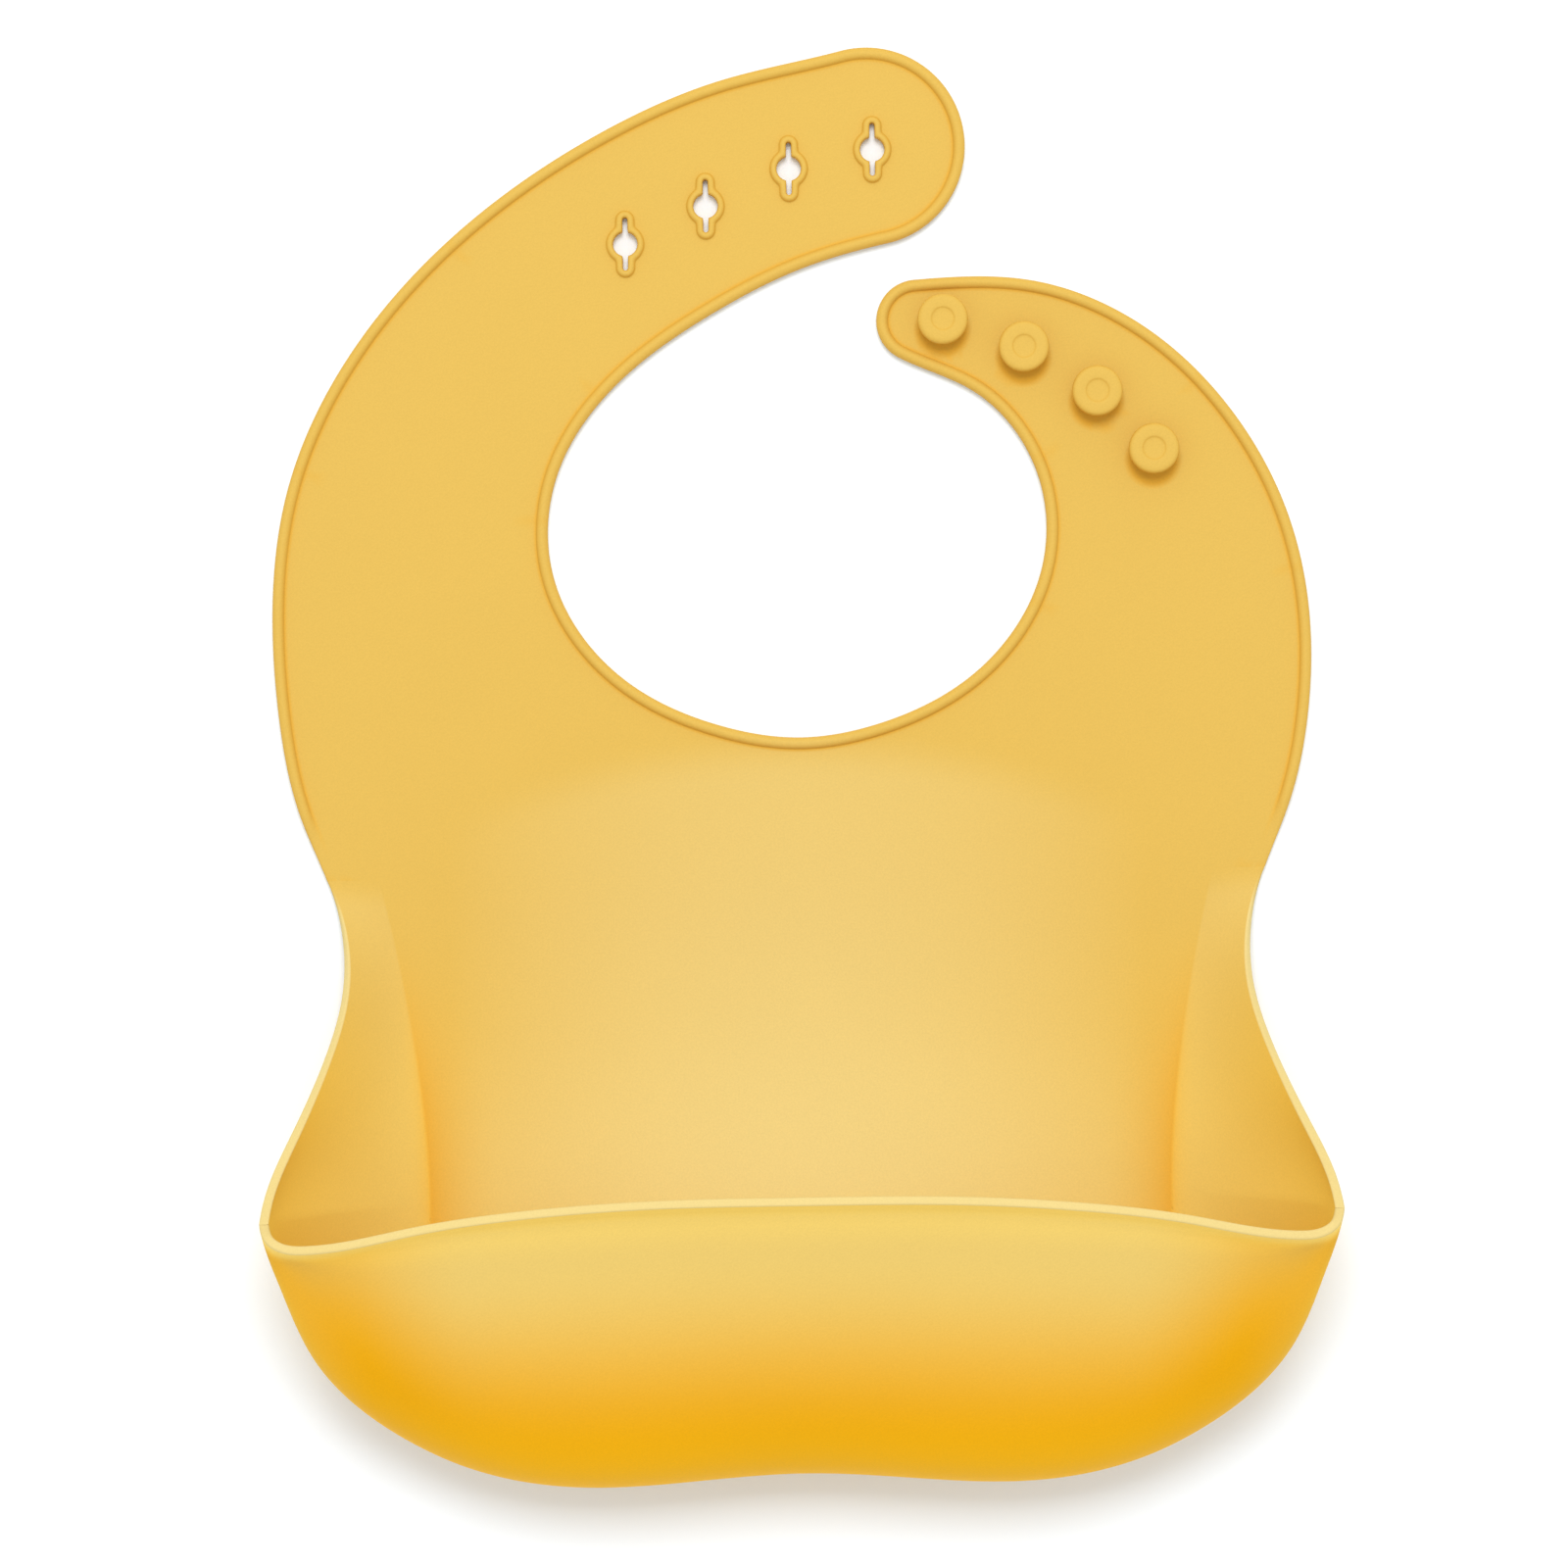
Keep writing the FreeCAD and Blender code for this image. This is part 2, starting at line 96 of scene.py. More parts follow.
# ---- pocket, the half on the +X side ----------------------------------------------------
CORNER_Y = -93.0
CORNER_Z = 52.0
POCKET_X = 110.7
LIP_Z = 60.0
FLOOR_X = 79.0
FLARE = 10.0
CREASE_RADIUS = 3.0
BULGE_Z = 20.0
CHEEK_X = 78.0
RIM = ((99.7, SEAM_Y), (96.4, -38.0), (96.4, -48.0), (99.6, -61.0), (105.6, -76.0),
       (109.8, -87.0), (110.7, -93.0))
OUTLINE = ((110.7, -93.0), (107.4, -106.0), (100.6, -123.6), (84.9, -139.5), (65.9, -148.2),
           (47.0, -151.2), (24.0, -150.4), (0.0, -149.0))
FLOOR = ((79.0, -93.0), (78.0, -106.0), (72.5, -118.0), (57.5, -125.5), (30.0, -128.0),
         (0.0, -127.5))
LIP = ((110.7, -93.0), (109.6, -96.2), (106.8, -98.4), (101.0, -99.1), (94.0, -98.4),
       (79.0, -95.4), (58.0, -92.4), (30.0, -90.5), (0.0, -90.2))
LIP_END = 76.0           # slope of the front wall at its lip, in degrees
LIP_TURN = 52.0          # how much of that slope is in the upturned edge, at the middle
LIP_RADIUS = 5.0
LIP_SET_BACK = 4.0       # how far the front wall's profiles slant towards the middle
LIP_CORNER_X = 101.0     # nearer the corner than this, the profiles crowd together
CORNER_DEPTH = 52.0      # how far towards -Y the walls take to come down from the corner
UPRIGHT = 0.45           # how straight up a wall arrives at its upper edge
SIDE_ROWS = 56
FRONT_ROWS = 110
FRONT_CROWDING = 1.25    # crowds the rows towards the corner
WALL_COLUMNS = 44
WALL_CROWDING = 1.6      # crowds the columns towards the crease
FRONT_COLUMNS = 42
FLOOR_STRIPS = (14.0, 11.5, 9.3, 7.4, 5.6, 4.1, 2.9, 1.9, 1.1, 0.5)   # rows beside the crease
SIDE_WALL, BOTTOM_TURN, FRONT_WALL = 0, 1, 2

# ---- profiles of the sheet's edge: distance in from the outline, and height -------------
BEAD = ((4.5, 0.0), (1.2, 0.0), (0.5, 0.0), (0.15, 0.12), (0.0, 0.5), (0.0, 1.4), (0.02, 2.2),
        (0.25, 2.75), (0.7, 3.15), (1.25, 3.3), (1.8, 3.15), (2.2, 2.8), (2.4, 2.4),
        (2.5, 2.08), (2.62, 2.0), (3.2, 2.0), (4.5, 2.0))
BEAD_FOOT = (13, 14)     # the points of that profile along the bead's foot, which carry a painted shade line
PLAIN = ((4.5, 0.0), (1.2, 0.0), (0.6, 0.0), (0.18, 0.18), (0.0, 0.6), (0.0, 1.1), (0.0, 1.55),
         (0.06, 1.77), (0.13, 1.87), (0.25, 1.95), (0.45, 2.0), (1.2, 2.0), (1.8, 2.0),
         (2.3, 2.0), (2.62, 2.0), (3.2, 2.0), (4.5, 2.0))
HOLE_EDGE = ((2.4, 0.0), (0.9, 0.0), (0.35, 0.0), (0.1, 0.1), (0.0, 0.35), (0.0, 1.5),
             (0.0, 2.6), (0.1, 2.92), (0.32, 3.13), (0.62, 3.2), (0.95, 3.14), (1.22, 2.92),
             (1.4, 2.55), (1.48, 2.15), (1.62, 2.01), (2.0, 2.0), (2.4, 2.0))


def smooth(s):
    """Rises from 0 to 1 with a level start and end."""
    s = min(max(s, 0.0), 1.0)
    return s * s * (3 - 2 * s)


def unit(v):
    v = np.asarray(v, float)
    return v / np.linalg.norm(v)


class Route:
    """A smooth curve through plan points, read by its share of the chord length."""

    def __init__(self, points, start=None, end=None):
        p = np.array(points, float)
        n = len(p)
        h = np.linalg.norm(np.diff(p, axis=0), axis=1)
        matrix, right = np.zeros((n, n)), np.zeros((n, 2))
        for i in range(1, n - 1):
            matrix[i, i - 1:i + 2] = h[i], 2 * (h[i - 1] + h[i]), h[i - 1]
            right[i] = 3 * (h[i] * (p[i] - p[i - 1]) / h[i - 1]
                            + h[i - 1] * (p[i + 1] - p[i]) / h[i])
        for row, near, heading, chord in ((0, 1, start, (p[1] - p[0]) / h[0]),
                                          (n - 1, n - 2, end, (p[-1] - p[-2]) / h[-1])):
            matrix[row, row] = 1.0 if heading else 2.0
            matrix[row, near] = 0.0 if heading else 1.0
            right[row] = unit(heading) if heading else 3 * chord
        self.p, self.h, self.m = p, h, np.linalg.solve(matrix, right)
        self.ends = np.concatenate(([0.0], np.cumsum(h)))

    def at(self, t):
        reach = min(max(t, 0.0), 1.0) * self.ends[-1]
        k = min(int(np.searchsorted(self.ends, reach, side="right")) - 1, len(self.h) - 1)
        h = self.h[k]
        s = (reach - self.ends[k]) / h
        return (self.p[k] * (1 + 2 * s) * (1 - s) ** 2 + self.m[k] * h * s * (1 - s) ** 2
                + self.p[k + 1] * s * s * (3 - 2 * s) - self.m[k + 1] * h * s * s * (1 - s))

    def points(self):
        count = math.ceil(self.ends[-1] / MESH_STEP)
        return [self.at(i / count) for i in range(count)]


def arc(centre, radius, start, end):
    """Points on a circle, from one angle towards another, without the last."""
    count = math.ceil(abs(math.radians(end - start)) * radius / (MESH_STEP * 0.6))
    turns = [math.radians(start + (end - start) * i / count) for i in range(count)]
    return [np.array((centre[0] + radius * math.cos(a), centre[1] + radius * math.sin(a)))
            for a in turns]


# ---- gathering vertices and faces --------------------------------------------------------

UNSET = (-1.0, -1.0, -1.0)


class Shape:
    """Vertices and faces of one closed mesh, in millimetres."""

    def __init__(self):
        self.vertices, self.faces, self.tones = [], [], []

    def add(self, points, tones=None):
        """Adds points, and where set, the painted light, painted shade and painted brightness at
        each.
        """
        first = len(self.vertices)
        self.vertices.extend(tuple(p) for p in points)
        self.tones.extend(tones if tones is not None else [UNSET] * len(points))
        return list(range(first, len(self.vertices)))

    def between(self, a, b, closed=False):
        """Four-sided faces between two rows of the same length."""
        last = len(a) if closed else len(a) - 1
        for i in range(last):
            j = (i + 1) % len(a)
            self.faces.append((a[i], a[j], b[j], b[i]))

    def grid(self, rows):
        for a, b in zip(rows, rows[1:]):
            self.between(a, b)

    def merged(self):
        """Vertices and faces with vertices at the same place made one."""
        places = np.round(np.array(self.vertices, float), 4)
        unique, index = np.unique(places, axis=0, return_inverse=True)
        index = index.ravel()
        tones = np.full((len(unique), 3), -1.0)
        np.maximum.at(tones, index, np.array(self.tones, float))
        faces = []
        for face in self.faces:
            loop = []
            for v in (int(index[k]) for k in face):
                if not loop or (v != loop[-1] and v != loop[0]):
                    loop.append(v)
            if len(loop) > 2:
                faces.append(loop)
        return unique, faces, tones


# ---- filling the flat inside of an outline -----------------------------------------------

def inside(points, loop):
    """Which points lie inside a closed loop of plan points."""
    x, y = points[:, 0], points[:, 1]
    found = np.zeros(len(points), bool)
    a, b = loop, np.roll(loop, -1, axis=0)
    for (x0, y0), (x1, y1) in zip(a, b):
        if y0 != y1:
            crossing = ((y0 > y) != (y1 > y)) & (x < (x1 - x0) * (y - y0) / (y1 - y0) + x0)
            found ^= crossing
    return found


def clear_of(points, loop, distance):
    """Which points lie further than a distance from a closed loop."""
    far = np.ones(len(points), bool)
    for a, b in zip(loop, np.roll(loop, -1, axis=0)):
        along = b - a
        length = max(along @ along, 1e-12)
        s = np.clip((points - a) @ along / length, 0, 1)
        nearest = a + s[:, None] * along
        far &= np.linalg.norm(points - nearest, axis=1) > distance
    return far


def fill(shape, loop, holes):
    """Closes the flat area between matching loops of top and bottom vertices.

    loop and each hole are (top indices, bottom indices). The points inside are in staggered
    rows, with rings of closer points beside the studs to carry their painted shadows.
    """
    plan = np.array(shape.vertices, float)[:, :2]
    rings = [loop] + holes
    tops = [plan[top] for top, _ in rings]
    low, high = tops[0].min(axis=0), tops[0].max(axis=0)
    rows = []
    for j, y in enumerate(np.arange(low[1], high[1], FILL_STEP * 0.866)):
        xs = np.arange(low[0] + (j % 2) * FILL_STEP / 2, high[0], FILL_STEP)
        rows.append(np.stack((xs, np.full(len(xs), y)), axis=1))
    spots = np.concatenate(rows)
    for x, y in STUDS:
        away = np.linalg.norm(spots - np.array((x, y - SHADE_SHIFT)), axis=1)
        spots = spots[away > SHADE_RINGS[-1] + FILL_STEP * 0.4]
    # rings of points that carry the painted stud shadows
    painted_stud_shadow = [p for x, y in STUDS for r in SHADE_RINGS
              for p in arc((x, y - SHADE_SHIFT), r, 0, 360)]
    spots = np.concatenate((spots, np.array(painted_stud_shadow)))
    spots = spots[inside(spots, tops[0])]
    for ring in tops:
        spots = spots[clear_of(spots, ring, FILL_STEP * 0.5)]
    for ring in tops[1:]:
        spots = spots[~inside(spots, ring)]
    top_index, bottom_index, edges = [], [], []
    for top, bottom in rings:
        first = len(top_index)
        top_index.extend(top)
        bottom_index.extend(bottom)
        edges.extend((first + i, first + (i + 1) % len(top)) for i in range(len(top)))
    top_index.extend(shape.add([(x, y, SHEET) for x, y in spots]))
    bottom_index.extend(shape.add([(x, y, 0.0) for x, y in spots]))
    places = [Vector(p) for p in np.concatenate(tops + [spots])]
    result = delaunay_2d_cdt(places, edges, [], 1, 1e-6)
    out, triangles, origins = result[0], result[2], result[3]
    centres = np.array([[sum(out[v][k] for v in face) / len(face) for k in (0, 1)]
                        for face in triangles])
    keep = np.ones(len(triangles), bool)
    for ring in tops[1:]:
        keep &= ~inside(centres, ring)
    for face, good in zip(triangles, keep):
        if good:
            source = [origins[v][0] for v in face]
            shape.faces.append([top_index[v] for v in source])
            shape.faces.append([bottom_index[v] for v in reversed(source)])


# ---- outline of the collar and straps ----------------------------------------------------

def whole_outline():
    """Plan points and inward directions, from the waist on the left to that on the right."""
    def on(centre, radius, angle):
        turn = math.radians(angle)
        return (centre[0] + radius * math.cos(turn), centre[1] + radius * math.sin(turn))
    tip_top, tip_low = on(TIP_CENTRE, TIP_RADIUS, 104), on(TIP_CENTRE, TIP_RADIUS, -78)
    stud_low = on(STUD_TIP_CENTRE, STUD_TIP_RADIUS, 242)
    stud_top = on(STUD_TIP_CENTRE, STUD_TIP_RADIUS, 94)
    points = (Route(LEFT + (tip_top,), (-0.38, 1), (1, 0.25)).points()
              + arc(TIP_CENTRE, TIP_RADIUS, 104, -78)
              + Route((tip_low,) + NECK + (stud_low,), (-1, -0.21), (-0.883, 0.469)).points()
              + arc(STUD_TIP_CENTRE, STUD_TIP_RADIUS, 242, 94)
              + Route((stud_top,) + RIGHT, (1, 0.07), (-0.38, -1)).points()
              + [np.array(RIGHT[-1])])
    points = np.array(points)
    heading = np.gradient(points, axis=0)
    heading /= np.linalg.norm(heading, axis=1)[:, None]
    inward = np.stack((heading[:, 1], -heading[:, 0]), axis=1)
    for i, (x, y) in enumerate(points):
        level = smooth((-12.0 - y) / 10.0)
        if level:
            inward[i] = unit(inward[i] * (1 - level) + np.array((-np.sign(x), 0)) * level)
    return points, inward


outline, inward = whole_outline()


def nearest(place):
    """The outline point nearest to a place."""
    return int(np.argmin(np.linalg.norm(outline - np.array(place), axis=1)))


def edge_column(i):
    """The sheet's edge at one outline point, from the underside round to the top.

    A painted shade line, a deeper colour, runs along the foot of the bead.
    """
    x, y = outline[i]
    raised = 1.0 if abs(x) < 80 or y > 0 else smooth((y + 20.0) / 12.0)
    column = []
    for (bead_in, bead_z), (plain_in, plain_z) in zip(BEAD, PLAIN):
        step = bead_in * raised + plain_in * (1 - raised)
        height = bead_z * raised + plain_z * (1 - raised)
        column.append((x + inward[i][0] * step, y + inward[i][1] * step, height))
    tones = [UNSET] * len(column)
    # painted shade along the bead's foot
    for k in BEAD_FOOT:
        tones[k] = (0.0, 0.4 * raised, 0.0)
    return column, tones


def keyhole_ring(centre, offset, height):
    """A ring at a set distance outside a keyhole's edge: a round hole with a slot on two sides."""
    radius, half, reach = HOLE_RADIUS + offset, SLOT_HALF_WIDTH + offset, SLOT_REACH
    quarter = list(HOLE_ANGLES)
    whole = quarter + [180 - a for a in reversed(quarter[:-1])]
    whole += [180 + a for a in quarter[1:]] + [360 - a for a in reversed(quarter[1:-1])]
    ring = []
    for angle in whole:
        along, across = math.cos(math.radians(angle)), math.sin(math.radians(angle))
        slot = half / max(abs(across), 1e-9)
        if slot * abs(along) > reach:
            slot = reach * abs(along) + math.sqrt(max(half ** 2 - (reach * across) ** 2, 0))
        far = (radius ** 14 + slot ** 14) ** (1 / 14)
        ring.append((centre[0] + far * across, centre[1] + far * along, height))
    return ring


def seam_points(a, b):
    """Plan points between two places, without the ends, the same in both directions."""
    count = max(2, round(math.dist(a, b) / FILL_STEP))
    return [(a[0] + (b[0] - a[0]) * i / count, a[1] + (b[1] - a[1]) * i / count)
            for i in range(1, count)]


def add_seam(shape, start, end):
    """Joins two (top, bottom) vertex pairs by a straight seam, and returns its new vertices."""
    way = seam_points(shape.vertices[start[0]], shape.vertices[end[0]])
    above = shape.add([(x, y, SHEET) for x, y in way],
                      [flat_tone(x, y, SHEET, 1.0) for x, y in way])
    below = shape.add([(x, y, 0.0) for x, y in way])
    shape.between([start[0]] + above + [end[0]], [start[1]] + below + [end[1]])
    return above, below


def flat_shape(ranges, holes=()):
    """One piece of the collar or a strap: stretches of the outline joined by straight seams."""
    shape = Shape()
    stretches = [[shape.add(*edge_column(i)) for i in range(a, b + 1)] for a, b in ranges]
    tops, bottoms = [], []
    for columns, following in zip(stretches, stretches[1:] + stretches[:1]):
        shape.grid(columns)
        tops += [c[-1] for c in columns]
        bottoms += [c[0] for c in columns]
        end, start = columns[-1], following[0]
        shape.faces.append(list(end))
        shape.faces.append(list(reversed(start)))
        above, below = add_seam(shape, (end[-1], end[0]), (start[-1], start[0]))
        tops += above
        bottoms += below
    rims = []
    for centre in holes:
        rows = [shape.add(keyhole_ring(centre, d, z)) for d, z in HOLE_EDGE]
        for a, b in zip(rows, rows[1:]):
            shape.between(a, b, closed=True)
        rims.append((rows[-1], rows[0]))
    fill(shape, (tops, bottoms), rims)
    return shape


# ---- pocket ------------------------------------------------------------------------------

rim_route = Route(RIM, (-0.38, -1), (0.06, -1))
outline_route = Route(OUTLINE, (-0.12, -1), (-1, 0))
floor_route = Route(FLOOR, (0, -1), (-1, 0))
lip_route = Route(LIP, (-0.22, -1), (-1, 0))


def bezier(p0, p1, p2, p3, count=80):
    """Points on a cubic curve with four control points."""
    s = np.linspace(0, 1, count)[:, None]
    return p0 * (1 - s) ** 3 + p1 * 3 * s * (1 - s) ** 2 + p2 * 3 * s * s * (1 - s) + p3 * s ** 3


def spaced(curve, shares, left_off=0.0):
    """Points at shares of a curve's length, after a length is left off its end."""
    steps = np.concatenate(([0.0], np.cumsum(np.linalg.norm(np.diff(curve, axis=0), axis=1))))
    reach = max(steps[-1] - left_off, 0.0)
    return np.stack([np.interp(np.array(shares) * reach, steps, curve[:, k])
                     for k in range(3)], axis=1)


def foot_reach(height):
    """How far a wall's profile runs along the floor before it turns up."""
    return math.sqrt(CREASE_RADIUS * 0.55 * height / 1.5)


def x_share(route, x):
    """The share of a route at which it is x from the middle."""
    low, high = 0.0, 1.0
    for _ in range(30):
        middle = (low + high) / 2
        low, high = (middle, high) if route.at(middle)[0] > x else (low, middle)
    return low


def lip_x(x):
    """How far from the middle a front wall's profile ends, when it starts at x."""
    share = min(max((POCKET_X - x) / (POCKET_X - CHEEK_X), 0.0), 1.0)
    return x - LIP_SET_BACK * math.sin(math.pi * share) ** 2


lip_corner_share = x_share(outline_route, LIP_CORNER_X)
lip_corner_reach = x_share(lip_route, lip_x(LIP_CORNER_X))


def lip_plan(t):
    """The lip's plan point for the front wall's profile at t along the foremost line.

    Near the corner it is found by its share of the lip, and beyond by its distance from the
    middle, so that the profiles stand upright between the cheeks.
    """
    if t < lip_corner_share:
        s = t / lip_corner_share
        return lip_route.at(lip_corner_reach * s * (1 + (1 - s) * (1 - 1.2 * s)))
    return lip_route.at(x_share(lip_route, lip_x(outline_route.at(t)[0])))


def side_curve(t):
    """Profile of the side wall's outer face, from the crease up to the rim, and its heading."""
    x, y = rim_route.at(t)
    z = CORNER_Z * t ** 1.5
    foot = np.array((FLOOR_X + FLARE * (1 - t) ** 1.8, y, 0.0))
    rim = np.array((x, y, z))
    out = np.array((x - foot[0], 0.0, 0.0))
    lean = 0.30 * (1 - 0.8 * smooth((t - 0.5) / 0.5))
    back = out * lean + np.array((0, 0, UPRIGHT * z))
    return bezier(foot, foot + np.array((foot_reach(z), 0, 0)), rim - back, rim), unit(back)


def bottom_curve(t):
    """Profile of the bottom turn's outer face, from the floor to the foremost line.

    The foremost line comes down from the lip's corner to where the front wall bulges most.
    """
    x, y = outline_route.at(t)
    way = (POCKET_X - x) / (POCKET_X - CHEEK_X) * 0.5 + (CORNER_Y - y) / CORNER_DEPTH * 0.5
    way = min(way, 1.0)
    fall = 0.3 * smooth(way) + 0.7 * (1 - (1 - way) ** 2)
    z = CORNER_Z + (BULGE_Z - CORNER_Z) * fall
    edge = np.array((x, y, z))
    foot = np.array((*floor_route.at(t), 0.0))
    out = np.array((edge[0] - foot[0], edge[1] - foot[1], 0.0))
    turn, lean = smooth(t / 0.5), 0.06 * (1 - smooth(t / 0.12))
    reach = foot_reach(z) / np.linalg.norm(out) * (1 - turn) + 0.58 * turn
    back = out * lean + np.array((0, 0, (UPRIGHT + 0.10 * turn) * z))
    return bezier(foot, foot + out * reach, edge - back, edge), unit(back)


def front_curve(t, start, leaving):
    """Profile of the front wall's outer face, from the foremost line to the lip."""
    x, y = lip_plan(t)
    lip = np.array((x, y, LIP_Z - (LIP_Z - CORNER_Z) * (x / POCKET_X) ** 2))
    plan = np.array((lip[0] - start[0], lip[1] - start[1], 0.0))
    flat = unit(plan) if np.linalg.norm(plan) > 1e-6 else np.array((0.0, 1.0, 0.0))
    up = np.array((0.0, 0.0, 1.0))
    slope, upturn = math.radians(LIP_END - LIP_TURN * smooth(t / 0.35)), math.radians(LIP_END)
    angles = np.linspace(slope, upturn, 12)[:, None]
    turned = (flat * (np.sin(angles) - math.sin(upturn))
              - up * (np.cos(angles) - math.cos(upturn))) * LIP_RADIUS + lip
    arriving = flat * math.cos(slope) + up * math.sin(slope)
    chord = np.linalg.norm(turned[0] - start)
    curve = bezier(start, start + leaving * 0.42 * chord, turned[0] - arriving * 0.42 * chord,
                   turned[0])
    return np.concatenate((curve, turned[1:])), flat * math.cos(upturn) + up * math.sin(upturn)


def pocket_half():
    """Rows of the outer face on the +X side, with each row's heading at its upper end.

    Returns the side wall's rows, the bottom turn's rows and the front wall's rows.
    """
    foot_shares = [(j / WALL_COLUMNS) ** WALL_CROWDING for j in range(WALL_COLUMNS + 1)]
    front_shares = [j / FRONT_COLUMNS for j in range(FRONT_COLUMNS + 1)]
    side, bottom, front = [], [], []
    for i in range(SIDE_ROWS + 1):
        curve, heading = side_curve(max(i / SIDE_ROWS, 0.0005))
        if i == 0:      # the wall starts flat, at the seam
            curve[:, 1:] = (SEAM_Y, 0.0)
            heading = np.array((1.0, 0.0, 0.0))
        side.append((spaced(curve, foot_shares, OUTER_ROUND), heading))
    for i in range(FRONT_ROWS + 1):
        t = (i / FRONT_ROWS) ** FRONT_CROWDING
        curve, heading = bottom_curve(t)
        rows = spaced(curve, foot_shares, OUTER_ROUND * (1 - smooth(t / 0.08)))
        bottom.append((rows, heading))
        curve, arriving = front_curve(t, rows[-1], heading)
        ending = unit(heading * (1 - smooth(t / 0.06)) + arriving * smooth(t / 0.06))
        front.append((spaced(curve, front_shares, OUTER_ROUND), ending))
    return side, bottom, front


def surface_normals(grids):
    """Inward normals at every point of the grids, taken over them and their mirror images."""
    flat = np.concatenate([g.reshape(-1, 3) for g in grids])
    both = np.concatenate((flat, flat * (-1, 1, 1)))
    _, index = np.unique(np.round(both, 4), axis=0, return_inverse=True)
    index = index.ravel()
    total = np.zeros((index.max() + 1, 3))
    first = 0
    for g in grids:
        a, b, c, d = g[:-1, :-1], g[1:, :-1], g[1:, 1:], g[:-1, 1:]
        normal = np.cross(c - a, d - b)
        ids = np.arange(g.shape[0] * g.shape[1]).reshape(g.shape[:2]) + first
        for corner in (ids[:-1, :-1], ids[1:, :-1], ids[1:, 1:], ids[:-1, 1:]):
            np.add.at(total, index[corner.ravel()], normal.reshape(-1, 3))
            np.add.at(total, index[corner.ravel() + len(flat)],
                      normal.reshape(-1, 3) * (-1, 1, 1))
        first += g.shape[0] * g.shape[1]
    total /= np.maximum(np.linalg.norm(total, axis=1), 1e-12)[:, None]
    found = total[index[:len(flat)]]
    result, first = [], 0
    for g in grids:
        size = g.shape[0] * g.shape[1]
        result.append(found[first:first + size].reshape(g.shape))
        first += size
    return result


def wall_tones(number, t, row):
    """Painted light, painted shade and painted brightness along one row, outside and inside.

    The inside of the walls is painted brighter, standing in for light through the thin walls and
    round the pocket. Outside, the front wall has painted shade at the bottom and painted light
    above, and painted brightness along its foot and below the lip.
    f is the share of the row, from its foot (0) to its upper edge (1).
    """
    left = np.linalg.norm(np.diff(row, axis=0), axis=1)[::-1].cumsum()[::-1]
    left = np.append(left, 0.0)
    share = 1 - left / max(left[0], 1e-6)
    outside, within = [], []
    # Each tone is (painted light, painted shade, painted brightness). edge paints light at the
    # rim, toe paints shade at the crease, and foot and under paint brightness along the front
    # wall's foot and below the lip.
    for place, to_rim, f in zip(row, left, share):
        low = smooth(place[2] / 12.0)
        corner = smooth((abs(place[0]) - 66.0) / 40.0)
        edge = smooth(1 - to_rim / 3.5)
        side = 1 - 0.3 * smooth((abs(place[0]) - 88.0) / 20.0)
        if number == SIDE_WALL:
            grown = smooth((t - 0.1) / 0.7)
            outside.append((edge * smooth(t / 0.15) * 0.5, t * low * side,
                            1.5 * low * smooth((t - 0.4) / 0.6)))
            toe = math.exp((to_rim - left[0]) / 2.5) * grown
            within.append((0.2 * smooth(t / 0.1) * (1 - grown) + 0.3 * (1 - f) * (grown - toe),
                           0.35 * (f * grown + toe),
                           (0.75 + 0.45 * f) * grown - 0.2 * toe))
        elif number == BOTTOM_TURN:
            toe = math.exp((to_rim - left[0]) / 2.5)
            outside.append((0.0, low * side, 1.5 * low))
            within.append((0.3 * (1 - f) * (1 - toe), 0.35 * (f + toe),
                           0.75 + 0.45 * f - 0.2 * toe))
        else:
            spread = smooth((f - 0.30 - 0.2 * corner) / 0.55) * (1 - 0.5 * corner)
            under = smooth((f - 0.84) / 0.12) * (1 - edge)
            foot = 1 - smooth(f / 0.45)
            outside.append((max(0.8 * edge, 0.36 * spread),
                            (1 - spread) * (1 - edge) * side + 0.06 * spread
                            + 0.12 * under + 0.5 * edge,
                            0.3 + 0.05 * spread + 1.2 * foot + 0.5 * under + 1.6 * edge))
            within.append((0.0, 0.35 * (1 - f), 1.2))
    return outside, within


def floor_strip(row, following, height):
    """Points on the flat floor beside the crease, in the plane of one profile, and their tones.

    Towards the crease it carries painted shade, a deeper colour, except at the waist.
    """
    away = unit((*(following - row[0])[:2], 0.0))
    points = [np.array((*(row[0] - away * d)[:2], height)) for d in FLOOR_STRIPS]
    tones = []
    for (x, y, _), d in zip(points, FLOOR_STRIPS):
        painted_light, _, painted_brightness = flat_tone(x, y, SHEET, 1.0)
        # near weights the painted shade towards the crease
        near = math.exp(-d / 9.0) * (1 - d / 15.0) * smooth((-y - 30.0) / 45.0)
        tones.append((painted_light * (1 - near), 0.55 * near, painted_brightness * (1 - near) + 0.12 * near))
    return points, tones


def rim_column(outer, heading, normal):
    """The rounded end of a wall, from its outer face to its inner face."""
    column = []
    for step in (1, 2, 3, 4):
        a = math.pi / 8 * step
        column.append(outer + heading * OUTER_ROUND * math.sin(a)
                      + normal * OUTER_ROUND * (1 - math.cos(a)))
    for step in (0, 1, 2, 3):
        a = math.pi / 6 * step
        rise = OUTER_ROUND - INNER_ROUND + INNER_ROUND * math.cos(a)
        column.append(outer + heading * rise
                      + normal * (WALL - INNER_ROUND * (1 - math.sin(a))))
    return column


